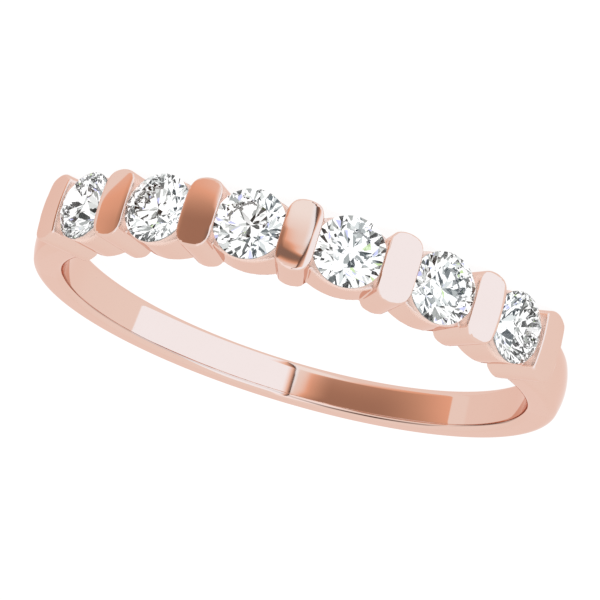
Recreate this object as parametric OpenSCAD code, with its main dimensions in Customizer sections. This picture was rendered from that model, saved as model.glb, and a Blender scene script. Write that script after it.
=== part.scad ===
/* [Finger hole] */
// Inside diameter of the ring
finger_d = 16.5; // [14:0.1:21]

/* [Shank] */
// Thickness of the shank at the back of the finger
back_t = 1.1; // [0.9:0.02:1.4]
// Thickness of the shank at the two sides of the finger
side_t = 1.2; // [1:0.02:1.5]
// Width at the back of the finger
back_w = 1.46; // [1.2:0.02:1.9]
// Width at the two sides of the finger
side_w = 1.74; // [1.4:0.02:2.1]
// Width where the shank meets the two end bars
shoulder_w = 2.14; // [1.8:0.02:2.4]
// Radius of the low dome across the shank's outer face
shank_dome_r = 2.2; // [1.6:0.1:5]

/* [Bars] */
// Width of a bar at the finger hole, along the row of stones
bar_w = 1.06; // [0.9:0.02:1.2]
// Width of a bar at its crown
bar_top_w = 1.2; // [1:0.02:1.26]
// Length of a bar, across the row
bar_l = 2.38; // [2.1:0.02:2.8]
// Height of a bar's crown above the finger hole
bar_h = 1.92; // [1.8:0.02:2.2]
// Radius of a bar's bowed ends, seen from above
bar_end_r = 0.85; // [0.65:0.01:1.1]
// Radius of the crown across a bar
bar_crown_r = 12; // [4:0.5:16]
// Radius of the crown along a bar
bar_arch_r = 7; // [5:0.5:20]
// Radius that softens the long top edges of a bar
bar_edge_r = 0.1; // [0.04:0.01:0.2]

/* [Gallery rails] */
// Width over the two rails at the middle of a stone
rail_w = 2.26; // [2.1:0.02:2.7]
// Height of the rails above the finger hole
rail_h = 1.36; // [1.15:0.02:1.5]
// Radius of the bow of a rail, seen from above
rail_bow_r = 2.1; // [1.7:0.05:4]
// Bevel along the top outer edge of a rail
rail_bevel = 0.05; // [0.02:0.01:0.1]

/* [Stones] */
// Diameter of a stone at its girdle
stone_d = 2.34; // [2.2:0.02:2.5]
// Height of the middle of the girdle above the finger hole
girdle_h = 1.61; // [1.55:0.01:1.75]
// Thickness of the girdle
girdle_t = 0.08; // [0.06:0.01:0.12]
// Width of the table, as a share of the diameter
table_share = 0.56; // [0.5:0.01:0.65]
// Slope of the crown's main facets, in degrees
crown_angle = 34.5; // [30:0.5:38]
// Slope of the pavilion's main facets, in degrees
pavilion_angle = 40.75; // [39:0.25:43]
// Reach of the star facets from the table towards the girdle, as a share
star_share = 0.5; // [0.4:0.05:0.6]
// Reach of the lower half facets from the girdle towards the culet, as a share
lower_half_share = 0.77; // [0.7:0.01:0.85]

/* [Seats] */
// Depth that a stone's girdle sits in the groove of each bar
groove_bite = 0.13; // [0.08:0.01:0.18]
// Gap between a stone and the metal round it
seat_gap = 0.02; // [0.01:0.005:0.03]
// Diameter of the light hole under each stone
light_hole_d = 1.3; // [0.8:0.05:1.5]

/* [Hidden] */
stone_count = 6;
metal_color = [0.9, 0.72, 0.64];
stone_color = [0.92, 0.95, 0.98];
$fn = 96;
// Cutting tools reach this far past what they cut
reach = 1;
// Metal left inside the finger hole until it is bored to size
stock = 0.4;

// Radii measured from the ring's axis
hole_r = finger_d / 2;
shank_r = hole_r + side_t;
// The outer face is a circle moved towards the stones, so the shank is thinnest at the back
shank_shift = side_t - back_t;
bar_r = hole_r + bar_h;
rail_r = hole_r + rail_h;
girdle_r = hole_r + girdle_h;

// A stone's own sizes, with its girdle's middle at height 0
stone_r = stone_d / 2;
facets = 8;
facet_step = 360 / facets;
table_r = stone_r * table_share;
crown_h = (stone_r - table_r) * tan(crown_angle);
pavilion_h = stone_r * tan(pavilion_angle);

// The girdle bites into both bars beside it, which sets the angle from bar to bar
bar_mid_w = bar_w + (bar_top_w - bar_w) * girdle_h / bar_h;
pitch = 2 * asin((bar_mid_w / 2 + stone_r - groove_bite) / girdle_r);
end_angle = pitch * stone_count / 2;

// Stations of the shank's taper, from the back of the finger to the end bars
SIDE = [
    // place along the ring's depth, half width
    [shank_r + reach, back_w / 2],
    [shank_r, back_w / 2],
    [0, side_w / 2],
    [-shank_r * cos(end_angle), shoulder_w / 2],
];

// Stands its children on the ring at an angle from the middle of the row: their +Z points out of the ring
module stand_at(angle) {
    rotate([90, 0, angle]) children();
}

// The tapering part of the ring, open between the two end bars
module shank() {
    open_x = 2 * bar_r * sin(end_angle);
    open_y = 2 * bar_r * cos(end_angle);
    difference() {
        intersection() {
            translate([0, -shank_shift, 0])
                rotate_extrude()
                    intersection() {
                        translate([hole_r - stock, -shoulder_w])
                            square([side_t + stock, 2 * shoulder_w]);
                        translate([shank_r - shank_dome_r, 0])
                            circle(r = shank_dome_r);
                    }
            rotate([90, 0, 90])
                translate([0, 0, -2 * bar_r])
                    linear_extrude(4 * bar_r)
                        polygon(concat(
                            [for (s = SIDE) s],
                            [for (i = [len(SIDE) - 1:-1:0]) [SIDE[i][0], -SIDE[i][1]]]
                        ));
        }
        translate([0, 0, -shoulder_w])
            linear_extrude(2 * shoulder_w)
                polygon([[0, 0], [-open_x, -open_y], [open_x, -open_y]]);
    }
}

// Outline of a bar from above, with rounded ends
module bar_plan() {
    straight_l = bar_l - 2 * bar_end_r;
    intersection() {
        square([bar_top_w, bar_l], center = true);
        union() {
            square([2 * bar_end_r, straight_l], center = true);
            for (side = [-1, 1])
                translate([0, side * straight_l / 2]) circle(r = bar_end_r);
        }
    }
}

// Outline of a bar from its end: it widens towards its crown and has soft top edges
module bar_front() {
    flare = atan((bar_top_w - bar_w) / 2 / bar_h);
    // Centre of the soft edge, which touches both the flank and the crown's level
    edge_x = bar_top_w / 2 - bar_edge_r * (1 + sin(flare)) / cos(flare);
    edge_y = bar_r - bar_edge_r;
    // Where the soft edge meets the flank
    flank_x = edge_x + bar_edge_r * cos(flare);
    flank_y = edge_y - bar_edge_r * sin(flare);
    foot_x = bar_w / 2 - stock * tan(flare);
    polygon([
        [-foot_x, hole_r - stock], [foot_x, hole_r - stock],
        [flank_x, flank_y], [edge_x, bar_r],
        [-edge_x, bar_r], [-flank_x, flank_y],
    ]);
    for (side = [-1, 1])
        translate([side * edge_x, edge_y]) circle(r = bar_edge_r);
}

// The body whose top is the crown of a bar, curved across it and along it
module bar_dome() {
    translate([0, 0, bar_r - bar_arch_r])
        rotate([0, 90, 0])
            rotate_extrude($fn = 360)
                intersection() {
                    translate([bar_arch_r - bar_crown_r, 0]) circle(r = bar_crown_r);
                    translate([0, -bar_w]) square([bar_arch_r + reach, 2 * bar_w]);
                }
}

// One bar, from inside the finger hole up to its crown
module bar() {
    intersection() {
        linear_extrude(bar_r + reach) bar_plan();
        rotate([90, 0, 0])
            translate([0, 0, -bar_l])
                linear_extrude(2 * bar_l) bar_front();
        bar_dome();
    }
}

// The two bowed rails under one stone, still solid in the middle, with both ends inside the bars
module rail_block() {
    bow_y = rail_bow_r - rail_w / 2;
    half_l = hole_r * tan(pitch / 2);
    intersection() {
        translate([0, -bow_y, hole_r - stock]) bow_post();
        translate([0, bow_y, hole_r - stock]) bow_post();
        translate([-half_l, -rail_w, 0])
            cube([2 * half_l, 2 * rail_w, bar_r]);
    }
}

// A round post with a bevelled top, whose flank is the bow of a rail
module bow_post() {
    post_h = rail_h + stock - rail_bevel;
    cylinder(h = post_h, r = rail_bow_r);
    translate([0, 0, post_h])
        cylinder(h = rail_bevel, r1 = rail_bow_r, r2 = rail_bow_r - rail_bevel);
}

// The hollow that a stone drops into: its own round outline and the gap, with a light hole below
module seat() {
    seat_r = stone_r + seat_gap;
    girdle_top = girdle_r + girdle_t / 2 + seat_gap;
    girdle_bottom = girdle_r - girdle_t / 2 - seat_gap;
    crown_top_r = seat_r - crown_h / tan(crown_angle);
    translate([0, 0, girdle_bottom - seat_r * tan(pavilion_angle)])
        cylinder(h = seat_r * tan(pavilion_angle), r1 = 0, r2 = seat_r);
    translate([0, 0, girdle_bottom])
        cylinder(h = girdle_top - girdle_bottom, r = seat_r);
    translate([0, 0, girdle_top])
        cylinder(h = crown_h, r1 = seat_r, r2 = crown_top_r);
    translate([0, 0, hole_r - reach])
        cylinder(h = girdle_h, d = light_hole_d);
}

// The cast metal, bored to the finger's size last
module band() {
    color(metal_color)
        difference() {
            union() {
                shank();
                for (i = [0:stone_count])
                    stand_at((i - stone_count / 2) * pitch) bar();
                for (i = [1:stone_count])
                    stand_at(stone_angle(i)) rail_block();
            }
            for (i = [1:stone_count])
                stand_at(stone_angle(i)) seat();
            translate([0, 0, -bar_l])
                cylinder(h = 2 * bar_l, r = hole_r, $fn = 360);
        }
}

// Angle of a stone from the middle of the row, stone 1 on the +X side
function stone_angle(i) = ((stone_count + 1) / 2 - i) * pitch;

// One ring of flat facets as an eight sided cone. It is half_w from the stone's axis at height z.
// A positive slope closes it upwards and a negative one downwards.
module facet_ring(slope, half_w, z, turn) {
    tip_z = z + half_w * tan(slope);
    open_z = slope > 0 ? -pavilion_h - girdle_t : crown_h + girdle_t;
    open_w = (tip_z - open_z) / tan(slope);
    translate([0, 0, tip_z])
        mirror([0, 0, slope > 0 ? 1 : 0])
            rotate(turn + facet_step / 2)
                cylinder(h = abs(tip_z - open_z), r1 = 0, r2 = open_w / cos(facet_step / 2), $fn = facets);
}

// A round brilliant with its table up and the middle of its girdle at height 0
module brilliant() {
    half_step = facet_step / 2;
    quarter_step = facet_step / 4;
    crown_z = girdle_t / 2;
    table_edge = table_r * cos(half_step);
    // Tip of a star facet, where two main facets meet
    star_tip = table_edge + star_share * (stone_r - table_edge);
    star_tip_h = (stone_r - star_tip * cos(half_step)) * tan(crown_angle);
    star_angle = atan((crown_h - star_tip_h) / (star_tip - table_edge));
    // The half facets start from a chord of the girdle
    chord_w = stone_r * cos(quarter_step);
    upper_half_angle = atan(star_tip_h / (chord_w - star_tip * cos(quarter_step)));
    // Inner tip of a pair of lower half facets, on the edge between two pavilion mains
    lower_tip = stone_r * (1 - lower_half_share);
    lower_tip_h = (stone_r - lower_tip * cos(half_step)) * tan(pavilion_angle);
    lower_half_angle = atan(lower_tip_h / (chord_w - lower_tip * cos(quarter_step)));
    intersection() {
        translate([0, 0, -pavilion_h - girdle_t / 2])
            cylinder(h = pavilion_h + girdle_t + crown_h, r = stone_r);
        facet_ring(crown_angle, stone_r, crown_z, 0);
        facet_ring(star_angle, table_edge, crown_z + crown_h, half_step);
        facet_ring(upper_half_angle, chord_w, crown_z, quarter_step);
        facet_ring(upper_half_angle, chord_w, crown_z, -quarter_step);
        facet_ring(-pavilion_angle, stone_r, -crown_z, 0);
        facet_ring(-lower_half_angle, chord_w, -crown_z, quarter_step);
        facet_ring(-lower_half_angle, chord_w, -crown_z, -quarter_step);
    }
}

// Stone i in its seat
module stone(i) {
    color(stone_color)
        stand_at(stone_angle(i))
            translate([0, 0, girdle_r])
                brilliant();
}

band();
stone(1);  // stone_1
stone(2);  // stone_2
stone(3);  // stone_3
stone(4);  // stone_4
stone(5);  // stone_5
stone(6);  // stone_6
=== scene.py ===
# %% [markdown]
# # A bar set band
#
# This lesson dresses a finger ring of polished rose gold, with six round brilliant cut stones that
# stand between upright bars. The solids come from a CAD package, and the first cell loads them as a
# fixed frame. They have the right sizes, but their edges are sharp and their faces plain, so each
# one is replaced below by a finer piece in the same place. The CAD mesh could be bevelled instead,
# but its loose triangles don't bevel cleanly, so the forms are built afresh.

# %% Load the frame
import itertools
import math
import bpy
import numpy as np
from mathutils import Matrix, Vector


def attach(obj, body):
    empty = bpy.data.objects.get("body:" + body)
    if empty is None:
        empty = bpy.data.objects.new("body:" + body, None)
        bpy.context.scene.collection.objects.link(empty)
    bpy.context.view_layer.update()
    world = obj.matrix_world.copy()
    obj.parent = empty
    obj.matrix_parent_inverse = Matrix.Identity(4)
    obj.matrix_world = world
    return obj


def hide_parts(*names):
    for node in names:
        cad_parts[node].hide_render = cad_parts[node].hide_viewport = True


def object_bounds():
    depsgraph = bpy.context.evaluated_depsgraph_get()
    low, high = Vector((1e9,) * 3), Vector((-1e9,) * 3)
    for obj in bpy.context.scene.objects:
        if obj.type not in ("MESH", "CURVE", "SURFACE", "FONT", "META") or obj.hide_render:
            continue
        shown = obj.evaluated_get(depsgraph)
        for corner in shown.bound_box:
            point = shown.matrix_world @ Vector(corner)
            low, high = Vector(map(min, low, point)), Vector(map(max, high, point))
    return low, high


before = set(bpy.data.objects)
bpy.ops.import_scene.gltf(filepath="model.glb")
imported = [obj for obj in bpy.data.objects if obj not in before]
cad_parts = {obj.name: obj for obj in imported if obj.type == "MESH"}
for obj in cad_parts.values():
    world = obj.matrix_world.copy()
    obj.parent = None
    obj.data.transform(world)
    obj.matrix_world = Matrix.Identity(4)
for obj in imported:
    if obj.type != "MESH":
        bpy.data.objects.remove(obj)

cad_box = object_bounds()
print("CAD nodes:", sorted(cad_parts))

# %% [markdown]
# ## Sizes of the row
#
# A goldsmith's drawing is in millimetres, so the shapes are worked out in millimetres and turned
# into metres last. A setter spaces the bars by the stones: the edge of each stone bites a little
# way into the two bars beside it, and that gives the angle from one bar to the next. The angle
# could be typed in, but worked out like this it keeps the stones seated when a size changes.

# %% Sizes of the row, in millimetres
MM = 0.001
HOLE_R = 8.25
STONES = 6
STONE_D, GIRDLE_H, GIRDLE_T = 2.34, 1.61, 0.08  # across, height above the hole, girdle's thickness
GROOVE_BITE = 0.13
BAR = dict(foot_w=1.06, top_w=1.2, length=2.38, height=1.92, end_r=0.85)

GIRDLE_R = HOLE_R + GIRDLE_H
bar_mid_w = BAR["foot_w"] + (BAR["top_w"] - BAR["foot_w"]) * GIRDLE_H / BAR["height"]
PITCH = 2 * math.asin((bar_mid_w / 2 + STONE_D / 2 - GROOVE_BITE) / GIRDLE_R)
END_ANGLE = PITCH * STONES / 2
print("bars stand", round(math.degrees(PITCH), 2), "degrees apart")

# %% [markdown]
# ## Joining forms with soft edges
#
# Each form below is a distance: below zero inside the metal, zero on its face, above zero outside.
# The larger of two distances is where two forms overlap, and the smaller one is both forms
# together. A plain larger or smaller leaves a knife edge. On a real ring the polishing wheel rounds
# each edge and solder fills each corner, so these two helpers put a quarter circle there. A Bevel
# modifier would need clean loops of edges, which this ring's crossing walls don't give.

# %% Soft overlap, soft union and a fade
def overlap(a, b, r):
    within = np.minimum(-r, np.maximum(a, b))
    return within + np.hypot(np.maximum(a + r, 0), np.maximum(b + r, 0))


def union(a, b, r):
    beyond = np.maximum(r, np.minimum(a, b))
    return beyond - np.hypot(np.maximum(r - a, 0), np.maximum(r - b, 0))


def fade(value, end, reach):
    """1 while the value is small, 0 from its end on, with a slope over the reach before it."""
    return np.clip((end - value) / reach, 0, 1)


print("a 0.1 mm edge takes", round(float(overlap(0.0, 0.0, 0.1)), 3), "mm off a corner")

# %% [markdown]
# ## The shank
#
# The plain part of a ring is a low dome bent round the finger, narrower at the back. Its outer face
# is a circle moved a little towards the stones, so the metal is thinnest where the hand closes.
# Wear rounds the two inner edges unevenly. A curve with a bevel profile could make it too, but as a
# distance it joins the bars with one soft union.

# %% The shank as a distance
SHANK = dict(back_t=1.1, side_t=1.2, dome_r=2.2, outer_edge=0.22, inside_r=15.0)
INNER_EDGE = dict(upper=0.22, lower=0.29)
SHANK_HALF_W = [(-5.2, 1.07), (0.0, 0.87), (9.45, 0.73)]  # y, and half the width there
SHANK_R = HOLE_R + SHANK["side_t"]
SHANK_SHIFT = SHANK["side_t"] - SHANK["back_t"]
UNDER_A_QUARTER = 1.2  # radians; past a quarter turn the sine would come back


def shank_form(x, y, z, from_axis, angle):
    out = np.hypot(x, y + SHANK_SHIFT)
    dome = np.hypot(out - (SHANK_R - SHANK["dome_r"]), z) - SHANK["dome_r"]
    side = np.abs(z) - np.interp(y, *np.array(SHANK_HALF_W).T)
    inside = HOLE_R + z ** 2 / (2 * SHANK["inside_r"]) - from_axis
    body = overlap(side, inside, np.where(z > 0, INNER_EDGE["upper"], INNER_EDGE["lower"]))
    body = overlap(body, dome, SHANK["outer_edge"])
    past_end = np.clip(END_ANGLE - np.abs(angle), -UNDER_A_QUARTER, UNDER_A_QUARTER)
    return np.maximum(body, from_axis * np.sin(past_end))


print("shank:", 2 * SHANK_HALF_W[-1][1], "mm wide and", SHANK["back_t"], "mm thick at the back")

# %% [markdown]
# ## The bars
#
# Seven bars stand on the ring. Each is a little wider at the crown than at the finger, with round
# ends. Its crown curves gently both ways like a pillow, and rolls over in its last fifth of a
# millimetre, which draws the bright line beside each edge. Subdivision would round a cage of faces
# to much the same shape, but not to a radius that can be set. All the bars are alike, so one
# distance serves: the place is first measured from the nearest bar.

# %% One bar as a distance
CROWN = dict(r=13.0, arch_r=7.0, pillow=1.2)  # pillow: how much more it curves across at its ends
ROLL = dict(width=0.19, r=0.9, late=0.1)  # late: how much later the roll starts at the round ends
EDGE = dict(crown=0.05, crown_end=0.07, corner=0.24, end_bar_corner=0.04, foot=0.08)
END_ZONE = [0.8, 1.05]  # from the bar's middle; the crown's edge softens here
FLARE = math.atan((BAR["top_w"] - BAR["foot_w"]) / 2 / BAR["height"])


def bar_crown(side_way, up, z):
    arch = np.hypot(up - (HOLE_R + BAR["height"] - CROWN["arch_r"]), z)
    crown = np.hypot(arch - (CROWN["arch_r"] - CROWN["r"]), side_way) - CROWN["r"]
    to_end = 2 * z / BAR["length"]
    return crown + CROWN["pillow"] * side_way ** 2 * to_end ** 2 / (2 * CROWN["r"])


def bar_form(side_way, up, z, corner):
    out_of_flank = np.abs(side_way) - BAR["foot_w"] / 2 - (up - HOLE_R) * math.tan(FLARE)
    flank = out_of_flank * math.cos(FLARE)
    straight = BAR["length"] / 2 - BAR["end_r"]
    end = np.hypot(side_way, np.maximum(np.abs(z) - straight, 0)) - BAR["end_r"]
    rolled = ROLL["width"] + overlap(flank, end - ROLL["late"], corner)
    crown = bar_crown(side_way, up, z) + np.maximum(rolled, 0) ** 2 / (2 * ROLL["r"])
    edge = np.interp(np.abs(z), END_ZONE, [EDGE["crown"], EDGE["crown_end"]])
    body = overlap(overlap(flank, end, corner), crown, edge)
    return overlap(body, HOLE_R - np.hypot(side_way, up), EDGE["foot"])


print("bars lean out by", round(math.degrees(FLARE), 2), "degrees on each side")

# %% [markdown]
# ## The gallery rails
#
# Under each stone the wall between two bars bows outwards, following the round stone above it. A
# goldsmith bends strip for it. Here it is the overlap of two round posts whose centres lie across
# the ring from each other, which gives both bowed walls at once.

# %% Two rails as a distance
RAIL = dict(width=2.26, height=1.36, bow_r=2.1, edge=0.05)


def rail_form(side_way, up, z):
    bow = RAIL["bow_r"] - RAIL["width"] / 2
    wall = np.hypot(side_way, np.abs(z) + bow) - RAIL["bow_r"]
    body = overlap(wall, up - (HOLE_R + RAIL["height"]), RAIL["edge"])
    body = np.maximum(body, np.abs(side_way) - HOLE_R * math.tan(PITCH / 2))
    return overlap(body, HOLE_R - np.hypot(side_way, up), EDGE["foot"])


print("each rail runs", round(PITCH * HOLE_R / 2, 2), "mm to both sides of its stone's middle")

# %% [markdown]
# ## The seats
#
# A setter cuts a seat for each stone: a cone for its underside, a groove for its girdle in the two
# bars beside it, and a round light hole right through to the finger. A Boolean modifier could cut
# the mesh with such a tool. Cut from the distance instead, the seat gets the same soft edges as the
# rest.

# %% One seat as a distance
SEAT_GAP, LIGHT_HOLE_R = 0.02, 0.65
CROWN_ANGLE, PAVILION_ANGLE = math.radians(34.5), math.radians(40.75)
TABLE_SHARE = 0.56


def seat_form(side_way, up, z):
    r = np.hypot(side_way, z)
    to_wall = r - (STONE_D / 2 + SEAT_GAP)
    top = GIRDLE_R + GIRDLE_T / 2 + SEAT_GAP
    bottom = GIRDLE_R - GIRDLE_T / 2 - SEAT_GAP
    under = to_wall * math.sin(PAVILION_ANGLE) - (up - bottom) * math.cos(PAVILION_ANGLE)
    over = to_wall * math.sin(CROWN_ANGLE) + (up - top) * math.cos(CROWN_ANGLE)
    table = up - (top + STONE_D / 2 * (1 - TABLE_SHARE) * math.tan(CROWN_ANGLE))
    hollow = np.maximum(np.maximum(under, over), np.maximum(to_wall, table))
    return np.minimum(hollow, np.maximum(r - LIGHT_HOLE_R, up - GIRDLE_R))


print("a stone lies", SEAT_GAP, "mm clear of its seat")

# %% [markdown]
# ## All the metal together
#
# Shank, bars and rails are soldered on a real ring, so they become one piece here. The shoulder,
# where the shank meets an end bar, has the widest fillet, and it fades out towards the bar's round
# ends. The seats are cut last, as a setter does.

# %% All the metal as one distance
SOLDER = dict(shoulder=0.32, rail=0.05, seat=0.02)
SHOULDER_FADE = dict(end=1.12, reach=0.5)
A_LITTLE_TURN = 0.1  # radians, under half the way from one bar to the next
PAST_THE_ROW = END_ANGLE + 0.5
DEEP_INSIDE = -9.0


def nearest_stone(angle):
    return (np.clip(np.floor(angle / PITCH), -STONES / 2, STONES / 2 - 1) + 0.5) * PITCH


def metal_form(x, y, z):
    from_axis, angle = np.hypot(x, y), np.arctan2(x, -y)
    bar_at = np.clip(np.round(angle / PITCH), -STONES / 2, STONES / 2) * PITCH
    end_bar = np.abs(bar_at) > END_ANGLE - A_LITTLE_TURN
    corner = np.where(end_bar, EDGE["end_bar_corner"], EDGE["corner"])
    turn = angle - bar_at
    bar = bar_form(from_axis * np.sin(turn), from_axis * np.cos(turn), z, corner)
    shank = shank_form(x, y, z, from_axis, angle)
    fillet = SOLDER["shoulder"] * fade(np.abs(z), **SHOULDER_FADE) + SOLDER["seat"]
    turn = angle - nearest_stone(angle)
    side_way, up = from_axis * np.sin(turn), from_axis * np.cos(turn)
    row = union(union(bar, shank, fillet), rail_form(side_way, up, z), SOLDER["rail"])
    back = np.abs(angle) > PAST_THE_ROW
    metal = np.maximum(np.where(back, shank, row), HOLE_R - from_axis)
    uncut = np.where(back, DEEP_INSIDE, -seat_form(side_way, up, z))
    return overlap(metal, uncut, SOLDER["seat"])


print("the shank's middle is", round(-float(metal_form(0.0, 8.8, 0.0)), 2), "mm inside the metal")

# %% [markdown]
# ## From a distance to a mesh
#
# A grid of points is laid round the ring, fine along the row of stones and coarser round the plain
# shank. Wherever the distance changes sign across a cell of the grid, the face of the metal runs
# through it, and that cell gets one vertex. Blender's own way would be Volume to Mesh, but its
# cubes can't follow a ring, and these can.

# %% Lay the grid and read the distance on it
STEP = 0.057  # along the row and across it
CLEAR_R, CLEAR_Z = 1.6 * STEP, 1.5 * STEP  # how far the grid goes past the metal
ROW_ANGLE = END_ANGLE + 0.14
ROW_R, BACK_R = 9.3, 9.0  # where the steps round the ring are measured
BACK_COARSER = 3.4  # a longer step, as the plain shank bends one way only


def ring_angles():
    fine = round(2 * ROW_ANGLE * ROW_R / STEP)
    row = np.linspace(-ROW_ANGLE, ROW_ANGLE, fine, endpoint=False)
    rest = 2 * math.pi - 2 * ROW_ANGLE
    coarse = round(rest * BACK_R / (BACK_COARSER * STEP))
    return np.concatenate([row, ROW_ANGLE + np.linspace(0, rest, coarse, endpoint=False)])


def to_xyz(angle, from_axis, z):
    return from_axis * np.sin(angle), -from_axis * np.cos(angle), z


angles = ring_angles()
radii = np.arange(HOLE_R - CLEAR_R, HOLE_R + BAR["height"] + CLEAR_R, STEP)
depths = np.arange(-BAR["length"] / 2 - CLEAR_Z, BAR["length"] / 2 + CLEAR_Z + STEP, STEP)
depths -= (depths[0] + depths[-1]) / 2
grid = metal_form(*to_xyz(*np.meshgrid(angles, radii, depths, indexing="ij")))
grid = np.concatenate([grid, grid[:1]])  # the last angle is the first one again
print("grid points:", grid.size)

# %% [markdown]
# Each crossed cell gets its vertex at the middle of the places where the face crosses the cell's
# edges. Marching cubes would set the vertices on those edges instead, which gives more of them and
# many slivers.

# %% Put a vertex in each crossed cell
def crossed_cells(value):
    """The middle of the crossings in each crossed cell, in grid steps, and each vertex's number."""
    shape = tuple(n - 1 for n in value.shape)
    total, count = np.zeros(shape + (3,)), np.zeros(shape)
    for start, axis in itertools.product(itertools.product((0, 1), repeat=3), range(3)):
        if start[axis]:
            continue
        stop = tuple(v + (n == axis) for n, v in enumerate(start))
        a, b = (value[tuple(slice(c, c + n) for c, n in zip(corner, shape))]
                for corner in (start, stop))
        crossed = (a < 0) != (b < 0)
        share = np.where(crossed, a / np.where(crossed, a - b, 1), 0)
        for n in range(3):
            total[..., n] += crossed * (start[n] + (share if n == axis else 0))
        count += crossed
    used = count > 0
    number = np.full(shape, -1)
    number[used] = np.arange(used.sum())
    return np.argwhere(used) + total[used] / count[used][:, None], number


cells, number = crossed_cells(grid)
wrap = [np.append(angles, angles[0] + 2 * math.pi), radii, depths]
spots = [np.interp(cells[:, n], np.arange(len(wrap[n])), wrap[n]) for n in range(3)]
points = np.stack(to_xyz(*spots), axis=1)
print("metal mesh:", len(points), "vertices")

# %% [markdown]
# Four cells lie round each short line of the grid. Where the face of the metal crosses that line,
# their four vertices make one quad, which is turned to face outwards. No hole can be left, because
# each crossed line has its quad. Blender could fill loops of edges too, but it would have to be
# told which.

# %% Join the four vertices round each crossed grid line
def quads_round_lines(value, number):
    inside, rounds, quads = value < 0, number.shape[0], []
    for axis in range(3):
        here, beyond = [slice(None)] * 3, [slice(None)] * 3
        here[axis], beyond[axis] = slice(0, -1), slice(1, None)
        a, b = inside[tuple(here)], inside[tuple(beyond)]
        where = np.argwhere(a != b)
        where = where[where[:, 0] < rounds]
        u, v = [n for n in range(3) if n != axis]
        around = []
        for du, dv in ((0, 0), (1, 0), (1, 1), (0, 1)):
            at = where.copy()
            at[:, u] -= 1 - du
            at[:, v] -= 1 - dv
            at[:, 0] %= rounds
            around.append(number[at[:, 0], at[:, 1], at[:, 2]])
        quad = np.stack(around, axis=1)
        outwards = ~a[tuple(where.T)] ^ (axis == 1)
        quad[~outwards] = quad[~outwards][:, ::-1]
        quads.append(quad)
    return np.concatenate(quads)


quads = quads_round_lines(grid, number)
print("metal mesh:", len(quads), "quads")

# %% [markdown]
# ## Onto the true face
#
# The vertices lie close to the metal's face, and a few Newton steps move each one onto it: back
# along the slope of the distance, as far as the distance says. The slope there is also the vertex's
# normal. Blender could work normals out from the faces, but these are exact, so a reflection runs
# smoothly over the mesh.

# %% Move the vertices and read the normals
NEWTON_STEPS = 4
LONGEST_MOVE = 0.4 * STEP
LEAST_SLOPE = 0.3  # squared; in a sharp hollow the slope nears zero, and a move would run away
NORMAL_REACH = 0.01


def slope(p, reach=0.004):
    g = np.empty_like(p)
    for n, step in enumerate(np.eye(3) * reach):
        g[:, n] = metal_form(*(p + step).T) - metal_form(*(p - step).T)
    return g / (2 * reach)


def unit(v):
    return v / np.maximum(np.linalg.norm(v, axis=1), 1e-6)[:, None]


for _ in range(NEWTON_STEPS):
    g = slope(points)
    move = -metal_form(*points.T)[:, None] * g / np.maximum((g * g).sum(1), LEAST_SLOPE)[:, None]
    length = np.maximum(np.linalg.norm(move, axis=1), 1e-9)
    points += move * np.minimum(1, LONGEST_MOVE / length)[:, None]
normals = unit(slope(points, NORMAL_REACH))
print("furthest from the true face, mm:", float(np.abs(metal_form(*points.T)).max()))

# %% [markdown]
# ## Where the wheel doesn't reach
#
# A polishing wheel reaches the crowns and the outside walls, but not the seats and the walls beside
# the stones. They stay satin. The mesh carries that as a number on each vertex, 1 deep in a seat
# and 0 on the bright faces, which the gold's material reads. It could be painted by hand, but the
# distance to the seats already says it. The normals are softened there too, as satin metal has no
# crisp lines.

# %% Mark the satin recesses
SATIN_REACH = 0.28
FACES_OUT = dict(end=0.85, reach=0.35)  # how squarely a face that the wheel reaches looks outwards
CROWN_KEPT = dict(end=HOLE_R + BAR["height"] - 0.07, reach=0.12)
WALLS_TOP = RAIL["height"] + 0.1
SOFT_REACH, SOFTENING = 0.05, 1.5

out, angle = np.hypot(points[:, 0], points[:, 1]), np.arctan2(points[:, 0], -points[:, 1])
turn = angle - nearest_stone(angle)
to_seat = seat_form(out * np.sin(turn), out * np.cos(turn), points[:, 2])
faces_out = (normals[:, :2] * points[:, :2]).sum(1) / out
sheltered = np.maximum(fade(faces_out, **FACES_OUT), out - HOLE_R < WALLS_TOP)
in_row = np.abs(angle) < END_ANGLE + A_LITTLE_TURN
recess = fade(to_seat, SATIN_REACH, SATIN_REACH) * sheltered * fade(out, **CROWN_KEPT) * in_row
share = np.clip(SOFTENING * recess, 0, 1)[:, None]
normals = unit(normals * (1 - share) + unit(slope(points, SOFT_REACH)) * share)
print("satin vertices:", int((recess > 0).sum()))

# %% [markdown]
# ## The band as an object
#
# Points and faces from outside Blender become a mesh with from_pydata, which is faster than adding
# them one by one with bmesh. The exact normals go in as custom normals. The piece rides on the
# ring's one body, and the CAD band that it stands for is hidden.

# %% Make the band's object
def mesh_object(name, verts, faces):
    mesh = bpy.data.meshes.new(name)
    mesh.from_pydata(verts.tolist(), [], faces.tolist())
    mesh.validate()
    made = bpy.data.objects.new(name, mesh)
    bpy.context.scene.collection.objects.link(made)
    return made


ring = mesh_object("polished_band", points * MM, quads)
ring.data.shade_smooth()
ring.data.normals_split_custom_set_from_vertices(normals.tolist())
marks = ring.data.attributes.new("recess", "FLOAT", "POINT")
marks.data.foreach_set("value", recess.astype(np.float32))
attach(ring, "root")
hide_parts("band")
ring.visible_transmission = False  # a stone gathers the light of the studio, not of its seat
print(ring.name, len(ring.data.polygons), "faces")

# %% [markdown]
# ## Writing node trees
#
# The stones, the finishes and the studio are all node trees. Nodes can be placed and linked by hand
# in Blender's editors, but sums take a node for each sign. So these helpers write them: add()
# places one node, and a Wire is a number that flows out of one, with which a sum can be typed as it
# is read.

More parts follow.
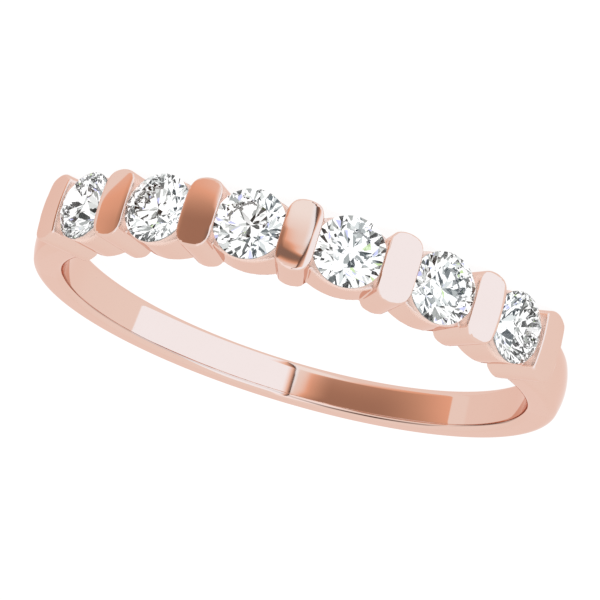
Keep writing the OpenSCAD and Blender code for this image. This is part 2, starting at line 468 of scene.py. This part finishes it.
# %% Place a node
def add(tree, kind, settings=None, **sockets):
    """One node. A socket is named with _ for each space, or _3 for the fourth one."""
    node = tree.nodes.new(kind)
    for key, value in (settings or {}).items():
        setattr(node, key, value)
    for key, value in sockets.items():
        number = key[1:].isdigit()
        socket = node.inputs[int(key[1:])] if number else node.inputs[key.replace("_", " ")]
        value = value.socket if isinstance(value, Wire) else value
        if isinstance(value, bpy.types.NodeSocket):
            tree.links.new(value, socket)
        else:
            socket.default_value = value
    return node


def flow(tree, kind, settings=None, output=0, **sockets):
    """The same, for a node of which one output is wanted."""
    return Wire(tree, add(tree, kind, settings, **sockets).outputs[output])


print("add() places a node, and flow() gives what comes out of it")


# %% Do sums with what flows out
def calc(operation, *values):
    """One Math node on these values, at least one of which is a Wire."""
    tree = next(v.tree for v in values if isinstance(v, Wire))
    sockets = {f"_{n}": value for n, value in enumerate(values)}
    return flow(tree, "ShaderNodeMath", {"operation": operation}, **sockets)


class Wire:
    """A value that flows through a node tree."""

    def __init__(self, tree, socket):
        self.tree, self.socket = tree, socket

    def __add__(self, other):
        return calc("ADD", self, other)

    def __sub__(self, other):
        return calc("SUBTRACT", self, other)

    def __rsub__(self, other):
        return calc("SUBTRACT", other, self)

    def __mul__(self, other):
        return calc("MULTIPLY", self, other)

    def __truediv__(self, other):
        return calc("DIVIDE", self, other)

    __radd__, __rmul__ = __add__, __mul__


print("a Wire can stand on either side of +, - and *, and be divided")

# %% [markdown]
# Four more nodes come up again and again: a value mapped along a straight line or an S curve, a
# ramp of colours, and one colour laid over another where a mask is white.

# %% Slopes, colour ramps and mixes
def linear(value, low, high, to_low=0.0, to_high=1.0):
    """From to_low, where the value is low, to to_high, where it is high, and level beyond."""
    return flow(value.tree, "ShaderNodeMapRange", _0=value, _1=low, _2=high, _3=to_low, _4=to_high)


def smooth(value, low, high):
    """0 where the value is low, 1 where it is high, with an S curve between."""
    settings = {"interpolation_type": "SMOOTHSTEP"}
    return flow(value.tree, "ShaderNodeMapRange", settings, _0=value, _1=low, _2=high)


def colour_ramp(value, stops, interpolation="LINEAR"):
    node = add(value.tree, "ShaderNodeValToRGB", Fac=value)
    node.color_ramp.interpolation = interpolation
    elements = node.color_ramp.elements
    elements[0].position, elements[0].color = stops[0]
    elements[1].position, elements[1].color = stops[-1]
    for place, colour in stops[1:-1]:
        elements.new(place).color = colour
    return Wire(value.tree, node.outputs[0])


def laid_over(base, colour, mask):
    return flow(mask.tree, "ShaderNodeMix", {"data_type": "RGBA"}, 2, _0=mask, _6=base, _7=colour)


print("linear, smooth, colour_ramp and laid_over each place one node")

# %% [markdown]
# ## The stones
#
# A round brilliant follows a rule: eight sides, a flat table, and rings of facets whose corners all
# come from a few shares and angles. Facets could be sliced off a cylinder one by one, as a cutter
# does, but Geometry Nodes suit a rule better. Each ring of corners is a Mesh Circle, and a Convex
# Hull node closes the rings into flat facets. One tree makes all six stones, and only the place
# differs.

# %% The inputs of the tree
STAR_SHARE, LOWER_HALF_SHARE = 0.5, 0.77
STONE_INPUTS = [
    ("Radius", "NodeSocketFloat", STONE_D / 2 * MM),
    ("Girdle Thickness", "NodeSocketFloat", GIRDLE_T * MM),
    ("Girdle Height", "NodeSocketFloat", GIRDLE_R * MM),
    ("Table Share", "NodeSocketFloat", TABLE_SHARE),
    ("Star Share", "NodeSocketFloat", STAR_SHARE),
    ("Lower Half Share", "NodeSocketFloat", LOWER_HALF_SHARE),
    ("Crown Angle", "NodeSocketFloat", CROWN_ANGLE),
    ("Pavilion Angle", "NodeSocketFloat", PAVILION_ANGLE),
    ("Place Angle", "NodeSocketFloat", 0.0),
    ("Material", "NodeSocketMaterial", None),
]

cut = bpy.data.node_groups.new("brilliant_cut", "GeometryNodeTree")
cut.interface.new_socket("Geometry", in_out="OUTPUT", socket_type="NodeSocketGeometry")
for label, kind, value in STONE_INPUTS:
    socket = cut.interface.new_socket(label, in_out="INPUT", socket_type=kind)
    if value is not None:
        socket.default_value = value
given = {s.name: Wire(cut, s) for s in cut.nodes.new("NodeGroupInput").outputs}
print("inputs:", ", ".join(label for label, kind, value in STONE_INPUTS))

# %% [markdown]
# A cutter sets one angle for the crown and one for the pavilion, and the other facets follow from
# where they meet. The sums below do the same. Heights could be typed in, but then a new angle would
# open gaps between the facets.

# %% Where the corners of the facets lie
EIGHTH = math.pi / 4
radius, half_girdle = given["Radius"], given["Girdle Thickness"] * 0.5
crown_slope = calc("TANGENT", given["Crown Angle"])
pavilion_slope = calc("TANGENT", given["Pavilion Angle"])
chord = radius * math.cos(EIGHTH / 4)

table_r = radius * given["Table Share"]
table_h = (radius - table_r) * crown_slope
table_edge = table_r * math.cos(EIGHTH / 2)
star_r = table_edge + given["Star Share"] * (radius - table_edge)
star_h = (radius - star_r * math.cos(EIGHTH / 2)) * crown_slope
upper_slope = star_h / (chord - star_r * math.cos(EIGHTH / 4))

lower_r = radius * (1.0 - given["Lower Half Share"])
lower_h = (radius - lower_r * math.cos(EIGHTH / 2)) * pavilion_slope
lower_slope = lower_h / (chord - lower_r * math.cos(EIGHTH / 4))
culet_h = radius * pavilion_slope
print("sums in the stone tree:", len(cut.nodes) - 1)

# %% [markdown]
# One helper makes each ring: so many corners, so far from the middle, at this height, and turned.
# The corners could be placed one by one, but that would take a node for each.

# %% Rings of corners
def vector(x=0.0, y=0.0, z=0.0):
    return flow(cut, "ShaderNodeCombineXYZ", X=x, Y=y, Z=z)


def ring_of(corners, r, height, turn=0.0):
    circle = flow(cut, "GeometryNodeMeshCircle", {"fill_type": "NONE"}, Vertices=corners, Radius=r)
    return flow(cut, "GeometryNodeTransform", Geometry=circle, Translation=vector(z=height),
                Rotation=vector(z=turn))


print("a ring takes 4 nodes: a circle, two vectors and a transform")

# %% [markdown]
# The girdle is the stone's thin round edge. It dips between its sixteen high points, where each
# half facet meets it, so its two rings of corners follow a wave and not a plain circle.

# %% The wavy girdle
GIRDLE_POINTS = 96
corner_turn = flow(cut, "GeometryNodeInputIndex") * (2 * math.pi / GIRDLE_POINTS)
off_middle = calc("FLOORED_MODULO", corner_turn, EIGHTH / 2) - EIGHTH / 4
bulge = radius * calc("COSINE", off_middle) - chord


def girdle_ring(facing, half_slope):
    flat = ring_of(GIRDLE_POINTS, radius, half_girdle * facing)
    dip = vector(z=bulge * half_slope * -facing)
    return flow(cut, "GeometryNodeSetPosition", Geometry=flat, Offset=dip)


print("girdle:", GIRDLE_POINTS, "corners in each ring")

# %% [markdown]
# The hull of all the corners is the cut stone, since a brilliant has no hollow. Faces could be
# listed corner by corner, but the hull finds them by itself. Those that stand upright are the
# girdle, and they carry a mark that the material reads.

# %% Close the rings into facets and mark the girdle
CULET_R = 1e-7
UPRIGHT = 0.2  # a face whose normal rises less than this is part of the girdle

rings = cut.nodes.new("GeometryNodeJoinGeometry")
for part in (
    ring_of(8, table_r, half_girdle + table_h),
    ring_of(8, star_r, half_girdle + star_h, EIGHTH / 2),
    girdle_ring(1, upper_slope),
    girdle_ring(-1, lower_slope),
    ring_of(8, lower_r, (half_girdle + lower_h) * -1, EIGHTH / 2),
    ring_of(3, CULET_R, (half_girdle + culet_h) * -1),
):
    cut.links.new(part.socket, rings.inputs[0])
facets = flow(cut, "GeometryNodeConvexHull", Geometry=rings.outputs[0])
facets = flow(cut, "GeometryNodeSetShadeSmooth", Geometry=facets, Shade_Smooth=False)
rises = flow(cut, "ShaderNodeSeparateXYZ", None, 2, Vector=flow(cut, "GeometryNodeInputNormal"))
upright = calc("LESS_THAN", calc("ABSOLUTE", rises), UPRIGHT)
facets = flow(cut, "GeometryNodeStoreNamedAttribute", {"data_type": "FLOAT", "domain": "FACE"},
              Geometry=facets, Name="girdle", Value=upright)
print("stone tree:", len(cut.nodes), "nodes")

# %% [markdown]
# The stone is cut round its own middle. It is lifted from the hole's centre to its height, tipped
# over to face outwards and turned to its place in the row. Its object could be moved instead, but
# then the ring would be told in two places.

# %% Lift the stone to its seat, stand it on the ring and finish the tree
lifted = flow(cut, "GeometryNodeTransform", Geometry=facets,
              Translation=vector(z=given["Girdle Height"]))
stood = flow(cut, "GeometryNodeTransform", Geometry=lifted,
             Rotation=vector(x=math.pi / 2, z=given["Place Angle"]))
real = flow(cut, "GeometryNodeRealizeInstances", Geometry=stood)
dressed = flow(cut, "GeometryNodeSetMaterial", Geometry=real, Material=given["Material"])
cut.links.new(dressed.socket, cut.nodes.new("NodeGroupOutput").inputs[0])
print("stone tree:", len(cut.nodes), "nodes")

# %% [markdown]
# ## Rose gold
#
# Rose gold is a mirror with a warm tint. A flat colour would do from afar, but real gold shows a
# faint cloud in its tone and gloss, a fine grain that the last polish leaves, and satin seats. A
# thin dark line is painted along the rim of the finger hole, standing in for the dark reflection in
# the rim's rounded edge. The line's strength and its way from the rim change along the ring, so
# both are kept in the red and green of one colour ramp.

# %% The painted dark reflection along the rim
RIM_LINE = [  # x in mm, strength, mm from the rim
    (-7.75, 0.5, 0.14), (-7.4, 0.9, 0.165), (-7.0, 0.8, 0.17), (-6.5, 0.5, 0.17),
    (-5.8, 0.05, 0.15), (-5.1, 0.5, 0.112), (-3.1, 1.0, 0.108), (-1.2, 0.7, 0.11),
    (0.0, 0.3, 0.13), (1.1, 0.1, 0.17), (5.1, 0.25, 0.18), (7.4, 0.25, 0.17), (7.8, 0.1, 0.17),
    (8.2, 0.5, 0.2),
]
RIM_AT, RIM_TAPER = 0.87, 14.8  # mm from the middle at y = 0, and mm less for each metre of y
LINE_EDGE = (0.028, 0.014)
LINE_DEPTH, LINE_START = 0.16, -2.5  # it keeps to the hole's wall, and to the back of the ring


def shader_tree(name):
    material = bpy.data.materials.new(name)
    material.use_nodes = True
    material.node_tree.nodes.clear()
    return material, material.node_tree


def carried(tree, name):
    """A number that the mesh carries, such as its recess."""
    return Wire(tree, add(tree, "ShaderNodeAttribute", {"attribute_name": name}).outputs["Fac"])


# a painted dark reflection: a thin dark line along the rim of the finger hole, laid into the gold's
# colour
def painted_rim_reflection(tree, place):
    split = add(tree, "ShaderNodeSeparateXYZ", Vector=place).outputs
    x, y, z = (Wire(tree, socket) for socket in split)
    stops = [((at + HOLE_R) / (2 * HOLE_R), (how_dark, inwards, 0, 1))
             for at, how_dark, inwards in RIM_LINE]
    table = colour_ramp(linear(x, -HOLE_R * MM, HOLE_R * MM), stops)
    split = add(tree, "ShaderNodeSeparateColor", Color=table).outputs
    strength, way = (Wire(tree, socket) for socket in split[:2])
    from_rim = RIM_AT - y * RIM_TAPER - z * (1 / MM)
    line = linear(calc("ABSOLUTE", from_rim - way), *LINE_EDGE)
    in_hole = calc("LESS_THAN", calc("SQRT", x * x + y * y), (HOLE_R + LINE_DEPTH) * MM)
    return line * in_hole * calc("GREATER_THAN", y, LINE_START * MM) * strength


print("the line is", 2 * LINE_EDGE[0], "mm wide")

# %% [markdown]
# The gold itself is one Principled shader. Two shaders could be mixed for the bright and the satin
# metal, but one with blended values keeps the border between them soft. The satin is pale and
# hardly mirrors, so it takes the even light of the room.

# %% Polished rose gold
GOLD_TONES = [(0.0, (0.795, 0.558, 0.472, 1)), (1.0, (0.805, 0.572, 0.486, 1))]
# LINE_TONE is the colour of the painted dark reflection along the rim
LINE_TONE, SATIN_TONE = (0.08, 0.035, 0.025, 1), (0.95, 0.72, 0.63, 1)
GLANCING_TONE = (0.93, 0.79, 0.74, 1)
CLOUD_SCALE, GRAIN_SCALE = 900.0, 9000.0
POLISHED, SATIN_ROUGH, SATIN_METALLIC, FULL_SATIN = (0.03, 0.055), 0.5, 0.1, 0.7


def rose_gold():
    material, tree = shader_tree("rose_gold")
    place = add(tree, "ShaderNodeTexCoord").outputs["Object"]
    cloud = flow(tree, "ShaderNodeTexNoise", Vector=place, Scale=CLOUD_SCALE, Detail=3.0)
    # the painted dark reflection along the rim is laid over the gold's tone here
    tone = laid_over(colour_ramp(cloud, GOLD_TONES), LINE_TONE, painted_rim_reflection(tree, place))
    satin = linear(carried(tree, "recess"), 0.0, FULL_SATIN)
    gloss = linear(cloud, 0.0, 1.0, *POLISHED)
    grain = flow(tree, "ShaderNodeTexNoise", Vector=place, Scale=GRAIN_SCALE, Detail=2.0)
    bump = flow(tree, "ShaderNodeBump", Strength=0.02, Distance=0.000002, Height=grain)
    metal = flow(tree, "ShaderNodeBsdfPrincipled", Base_Color=laid_over(tone, SATIN_TONE, satin),
                 Metallic=linear(satin, 0.0, 1.0, 1.0, SATIN_METALLIC),
                 Roughness=linear(satin, 0.0, 1.0, gloss, SATIN_ROUGH),
                 Specular_Tint=GLANCING_TONE, Normal=bump)
    add(tree, "ShaderNodeOutputMaterial", Surface=metal)
    return material


gold = rose_gold()
ring.data.materials.append(gold)
print(gold.name, "on", ring.name)

# %% [markdown]
# ## Diamond
#
# A diamond bends light more than almost any other clear stone, and its look comes from light that
# enters at the top, bounces off the facets below and leaves by the top again. A painted pattern
# would stay still as the ring turns. True facets and the right index, 2.42, do it all. The facets
# are polished, but the girdle stays as it was ground, grey and matt, and draws the fine dark line
# round each stone.

# %% Clear diamond
GROUND_TONE, GROUND_ROUGH = (0.3, 0.29, 0.28, 1), 0.6


def diamond():
    material, tree = shader_tree("clear_diamond")
    girdle = carried(tree, "girdle")
    stone = flow(tree, "ShaderNodeBsdfPrincipled", IOR=2.42, Transmission_Weight=1.0,
                 Specular_Tint=(0.3, 0.3, 0.3, 1), Roughness=girdle * GROUND_ROUGH,
                 Base_Color=laid_over((1, 1, 1, 1), GROUND_TONE, girdle))
    add(tree, "ShaderNodeOutputMaterial", Surface=stone)
    return material


clear = diamond()
print(clear.name, "made")

# %% [markdown]
# ## Six stones from one tree
#
# A modifier runs the tree on an empty mesh, once for each stone. Instances would share one mesh,
# but every stone is a piece of its own in the CAD frame, so the result is copied out as a plain
# mesh and the modifier goes. Each stone stands halfway between two bars.

# %% Cut the six stones with the tree
def run_tree(name, tree, **values):
    holder = bpy.data.objects.new(name + "_holder", bpy.data.meshes.new(name))
    bpy.context.scene.collection.objects.link(holder)
    modifier = holder.modifiers.new("cut", "NODES")
    modifier.node_group = tree
    sockets = {s.name: s.identifier for s in tree.interface.items_tree if s.in_out == "INPUT"}
    for label, value in values.items():
        modifier[sockets[label.replace("_", " ")]] = value
    view_layer = bpy.context.evaluated_depsgraph_get()
    mesh = bpy.data.meshes.new_from_object(holder.evaluated_get(view_layer))
    holder.modifiers.clear()
    bpy.data.objects.remove(holder)
    made = bpy.data.objects.new(name, mesh)
    bpy.context.scene.collection.objects.link(made)
    return made


for i in range(1, STONES + 1):
    place_angle = ((STONES + 1) / 2 - i) * PITCH
    stone = run_tree(f"brilliant_{i}", cut, Place_Angle=place_angle, Material=clear)
    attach(stone, "root")
    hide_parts(f"stone_{i}")
    stone.visible_diffuse = False  # the satin seats are lit past the stones, without their sparkle
    print(stone.name, len(stone.data.polygons), "faces")

# %% [markdown]
# ## The camera
#
# It looks at the row of stones from a little above the floor, rolled right over, as the ring was
# photographed. A Track To constraint can't roll a camera, so its three axes are worked out from the
# angles and written into its matrix.

# %% The camera
AZIMUTH, ELEVATION, ROLL = math.radians(-4.5738), math.radians(15.4692), math.radians(196.9985)
DISTANCE, FOCAL_PX, PICTURE_PX = 100.505, 2916.57, 600
LOOK_X, LOOK_Y, RING_LIFT = -0.0105, -0.6954, -0.06
CLOSEST, FURTHEST = 0.001, 10.0

outward = Vector((math.sin(AZIMUTH) * math.cos(ELEVATION),
                  -math.cos(AZIMUTH) * math.cos(ELEVATION), math.sin(ELEVATION)))
level_right = (-outward).cross(Vector((0, 0, 1))).normalized()
level_up = level_right.cross(-outward)
right = math.cos(ROLL) * level_right + math.sin(ROLL) * level_up
up = -math.sin(ROLL) * level_right + math.cos(ROLL) * level_up
eye = outward * DISTANCE - LOOK_X * right - LOOK_Y * up + Vector((0, 0, RING_LIFT))

camera_data = bpy.data.cameras.new("camera")
camera = bpy.data.objects.new("camera", camera_data)
bpy.context.scene.collection.objects.link(camera)
bpy.context.scene.camera = camera
facing = Matrix((right, up, outward)).transposed().to_4x4()
camera.matrix_world = Matrix.Translation(eye * MM) @ facing
camera_data.sensor_width = 36.0
camera_data.lens = FOCAL_PX * camera_data.sensor_width / PICTURE_PX
camera_data.clip_start, camera_data.clip_end = CLOSEST, FURTHEST
print("camera at", [round(v, 2) for v in eye], "mm, lens", round(camera_data.lens, 1), "mm")

# %% [markdown]
# ## The floor
#
# The ring lies on a plain pale floor. It glows by itself and reflects a little, so it stays nearly
# white with a soft shadow. The metal and the stones don't see it, because a jeweller's table is
# covered with white cards, which belong to the studio below.

# %% The floor
FLOOR_REACH = 0.6
FLOOR_TONE, FLOOR_GLOW = (0.14, 0.14, 0.14, 1), 0.92

material, tree = shader_tree("pale_floor")
matt = flow(tree, "ShaderNodeBsdfDiffuse", Color=FLOOR_TONE)
glow = flow(tree, "ShaderNodeEmission", Color=(1, 1, 1, 1), Strength=FLOOR_GLOW)
both = flow(tree, "ShaderNodeAddShader", _0=matt, _1=glow)
add(tree, "ShaderNodeOutputMaterial", Surface=both)

corners = [(-1, -1), (1, -1), (1, 1), (-1, 1)]
low = [(x * FLOOR_REACH, y * FLOOR_REACH, cad_box[0].z) for x, y in corners]
floor = mesh_object("floor", np.array(low), np.array([[0, 1, 2, 3]]))
floor.data.materials.append(material)
floor.visible_glossy = False
floor.visible_transmission = False
print("floor at", round(cad_box[0].z / MM, 3), "mm")

# %% [markdown]
# ## The studio
#
# Polished metal and diamonds show what stands round them far more than the light that falls on
# them. The cards of a jeweller's light tent could be built as glowing planes, but their edges would
# be seen from other sides. So the world itself is painted by direction. Azimuth is counted from -Y,
# where the row of stones faces, towards +X, and elevation from level, both in degrees.
# smooth(elevation, -10, -5) reads as: nothing at 10 degrees below level, all of it at 5.

# %% Which way a ray leaves
studio = bpy.data.worlds.new("studio")
bpy.context.scene.world = studio
studio.use_nodes = True
sky = studio.node_tree
sky.nodes.clear()

direction = flow(sky, "ShaderNodeTexCoord")
ways = add(sky, "ShaderNodeSeparateXYZ", Vector=direction).outputs
to_x, to_y, to_z = (Wire(sky, socket) for socket in ways)
azimuth = calc("ARCTAN2", to_x, to_y * -1.0) * (180 / math.pi)
elevation = calc("ARCSINE", to_z) * (180 / math.pi)
print("azimuth and elevation take", len(sky.nodes), "nodes")

# %% [markdown]
# The warm card stands on the +X side. The bars and the inside of the band show it as a brown that
# turns to orange and fades out towards the middle of the row. way_in says how far a direction lies
# within the card, counted from the middle of its soft edge. That edge leans for the crowns, which
# look low, and stands upright at the height that the inside of the band shows.

# %% The warm card's soft edge
CARD_MIDDLE, CARD_MIDDLE_AT, CARD_LEAN = 11.9, 13.7, 0.98
EDGE_SPREAD, SPREAD_GROWTH, LEAST_SPREAD = 1.7, 0.78, 2.0
UPRIGHT_TOP = 11.0

below_top = calc("MINIMUM", elevation + UPRIGHT_TOP, 0.0)
stands_up = smooth(elevation, -20.5, -17.0) * smooth(azimuth, 2.5, 9.5)
level = elevation - below_top * stands_up
middle = CARD_MIDDLE - (level + CARD_MIDDLE_AT) * CARD_LEAN
middle = middle - smooth(elevation, -6.8, -4.2) * 2.5 - smooth(elevation, -4.4, -3.0) * 8.0
hump = smooth(elevation, -12.0, -9.8) * smooth(elevation, -7.0, -9.5)
middle = middle - hump * 1.3
edge_spread = calc("MAXIMUM", -EDGE_SPREAD - level * SPREAD_GROWTH, LEAST_SPREAD)
way_in = (azimuth - middle) / edge_spread
print("the card's edge lies", CARD_MIDDLE, "degrees from the row's middle")

# %% [markdown]
# Its colour deepens from the soft edge inwards, and pales again lower down and far out to the side.
# An image could hold such a card, but slopes of angle stay smooth however closely the metal is
# looked at.

# %% How deep the warm card's colour is
depth = smooth(way_in, -1.0, 0.33) * 0.55 + smooth(way_in, -0.33, 1.78) * 0.45
depth = depth * (1.0 - smooth(azimuth, 44.0, 98.0) * 0.55)

# the crowns of the bars look this low, and show it as a paler orange
lower_down = smooth(elevation, -10.5, -31.0) * 0.52 + smooth(elevation, -31.0, -62.0) * 0.48
lower_down = lower_down * (1.0 - smooth(azimuth, 44.0, 85.0) * 0.45)
depth = depth * (1.0 - lower_down)

# two corners are up to a fifth deeper
top_corner = smooth(elevation, -10.0, -5.0) * smooth(azimuth, 40.0, 22.0)
far_corner = smooth(elevation, -14.0, -7.0) * smooth(azimuth, 60.0, 75.0) * 0.6
depth = depth * ((top_corner + far_corner) * 0.2 + 1.0)

# its far end slants, and its top rises away from the middle of the row
drop = calc("POWER", calc("MAXIMUM", -20.0 - elevation, 0.0), 1.3)
before_end = 88.8 - drop * 0.2 - azimuth
card_top = smooth(azimuth, 8.0, 45.0) * 12.2 - 0.7
under_top = smooth(card_top - elevation, -2.2, 2.2)
depth = depth * (smooth(before_end, -0.4, 0.4) * under_top)
print("studio:", len(sky.nodes), "nodes")

# %% [markdown]
# A ramp turns depth into colour, from white over orange to a brown. A plain mix of two colours
# would miss the orange between them.

# %% Colour the warm card
DEEPEST = 1.2
WARM_CARD = [
    (0.0, (1, 1, 1, 1)), (0.21, (1.0, 0.82, 0.74, 1)), (0.40, (0.94, 0.58, 0.42, 1)),
    (0.625, (0.64, 0.405, 0.29, 1)), (0.833, (0.42, 0.258, 0.186, 1)),
    (1.0, (0.29, 0.212, 0.175, 1)),
]
walls = colour_ramp(depth * (1 / DEEPEST), WARM_CARD)
print("the warm card runs through", len(WARM_CARD), "tones")

# %% [markdown]
# Between the two cards the tent is open, and a little cooler light comes in: below, above and close
# to the middle. Behind the ring, a wall off to one side is a shade darker than the rest.

# %% The openings between the cards
FRAME_AT = 1.05  # azimuth of the thin dark frame between the cards
COOL_WHITE, ABOVE_WHITE = (1.08, 1.25, 1.34, 1), (1.14, 1.26, 1.36, 1)
GLOW_WHITE, ASIDE_WHITE = (1.08, 1.36, 1.56, 1), (0.98, 0.92, 0.90, 1)

opening = smooth(elevation, -13.0, -31.0) * smooth(azimuth, 45.0, 20.0)
opening = opening * smooth(azimuth, FRAME_AT - 1, FRAME_AT) * (1.0 - depth)
walls = laid_over(walls, COOL_WHITE, opening)
above = smooth(elevation, 1.0, 14.0) * smooth(azimuth, 40.0, 20.0) * smooth(azimuth, -12.0, -6.0)
walls = laid_over(walls, ABOVE_WHITE, above)
glow = smooth(azimuth, 3.4, 1.6) * smooth(azimuth, -1.0, 0.0) * smooth(elevation, -8.0, -15.0)
walls = laid_over(walls, GLOW_WHITE, glow)
aside = smooth(elevation, -32.0, -28.0) * smooth(elevation, 2.0, -4.0)
walls = laid_over(walls, ASIDE_WHITE, aside * smooth(azimuth, 99.0, 102.0))
print("studio:", len(sky.nodes), "nodes")

# %% [markdown]
# The cool card stands on the -X side, bright and faintly blue, and its frame throws the thin dark
# line down the middle bar and across the inside of the band. Low down, where only the crowns look,
# the frame's shade reaches further over the card.

# %% The cool card and its dark frame
COOL_CARD = [
    (0.0, (1.12, 1.40, 1.62, 1)), (0.3, (1.1, 1.2, 1.3, 1)), (0.62, (1.0, 0.75, 0.62, 1)),
    (0.85, (0.45, 0.3, 0.24, 1)), (1.0, (0.08, 0.05, 0.04, 1)),
]
slant = calc("POWER", calc("MAXIMUM", -14.0 - elevation, 0.0), 3.0) * 0.00001
past_near_end = azimuth + 88.5 - slant
to_frame = azimuth - FRAME_AT - smooth(elevation, -17.0, -15.0) * 0.35
cool_top = smooth(azimuth, -62.0, -42.0) * 48.0 + 12.0
on_card = smooth(past_near_end, -0.4, 0.4) * smooth(to_frame, 0.2, -0.2)
on_card = on_card * smooth(cool_top - elevation, -1.0, 1.0)

frame_edge = FRAME_AT - smooth(elevation, -16.0, -24.0) * 0.45
shade_width = smooth(elevation, -18.0, -34.0) * 11.0 + 4.2
shade = colour_ramp((azimuth - frame_edge) / shade_width + 1.0, COOL_CARD)
walls = laid_over(walls, shade, on_card)
print("the cool card runs through", len(COOL_CARD), "tones")

# %% [markdown]
# ## What the stones gather
#
# A brilliant mixes light from all over the studio, and its sparkle is the contrast between bright
# and dark patches out there. Smooth cards alone leave the stones milky. So light that has passed
# through a stone sees a tent of small square patches instead: mostly white, some grey, a few black,
# a touch of blue and green, and one dark spot where the camera looks in.

# %% A tent of bright and dark patches
TENT_GRAIN = 8.0
TENT = [
    (0.0, (0.01, 0.012, 0.012, 1)), (0.13, (0.10, 0.11, 0.11, 1)), (0.22, (0.38, 0.40, 0.39, 1)),
    (0.31, (0.72, 0.75, 0.74, 1)), (0.40, (0.62, 0.64, 1.0, 1)), (0.415, (0.66, 0.86, 0.42, 1)),
    (0.43, (1.2, 1.2, 1.2, 1)),
]
LENS_TONE, LENS_HALF = (0.03, 0.03, 0.03, 1), 7.0  # its half width in degrees, soft by one each way

patches = add(sky, "ShaderNodeTexVoronoi", {"distance": "CHEBYCHEV"},
              Vector=direction, Scale=TENT_GRAIN)
grey = flow(sky, "ShaderNodeSeparateColor", Color=patches.outputs["Color"])
tent = colour_ramp(grey, TENT, "CONSTANT")
towards = add(sky, "ShaderNodeVectorMath", {"operation": "DOT_PRODUCT"},
              _0=direction, _1=tuple(outward)).outputs["Value"]
lens_edge = [math.cos(math.radians(LENS_HALF + side)) for side in (1, -1)]
gathered = laid_over(tent, LENS_TONE, smooth(Wire(sky, towards), *lens_edge))
print("the tent has", len(TENT), "tones")

# %% [markdown]
# ## Three kinds of ray
#
# The Light Path node tells which way a ray came. One that was mirrored sees the cards, one that
# went through a stone sees the tent, and any other sees plain white, so the floor and the satin
# seats are lit evenly.

# %% Choose by the kind of ray
path = add(sky, "ShaderNodeLightPath").outputs
plain = flow(sky, "ShaderNodeBackground", Color=(1, 1, 1, 1), Strength=1.0)
cards = flow(sky, "ShaderNodeBackground", Color=walls, Strength=1.0)
through = flow(sky, "ShaderNodeBackground", Color=gathered, Strength=1.0)
either = flow(sky, "ShaderNodeMixShader", _0=path["Is Glossy Ray"], _1=plain, _2=cards)
all_three = flow(sky, "ShaderNodeMixShader", _0=path["Is Transmission Ray"], _1=either, _2=through)
add(sky, "ShaderNodeOutputWorld", Surface=all_three)
print("studio:", len(sky.nodes), "nodes")

# %% [markdown]
# ## How the picture is developed
#
# Standard keeps the whites white, as in a jeweller's catalogue, where a filmic curve would grey
# them. Light bounces many times inside a stone before it leaves, so the stones need more bounces
# than most scenes.

# %% Colour and bounces
scene = bpy.context.scene
scene.view_settings.view_transform = "Standard"
scene.cycles.use_denoising = True
scene.cycles.max_bounces = 24
scene.cycles.transmission_bounces = 24
scene.cycles.glossy_bounces = 12
scene.cycles.caustics_reflective = True
scene.cycles.caustics_refractive = True
print("bounces:", scene.cycles.max_bounces)
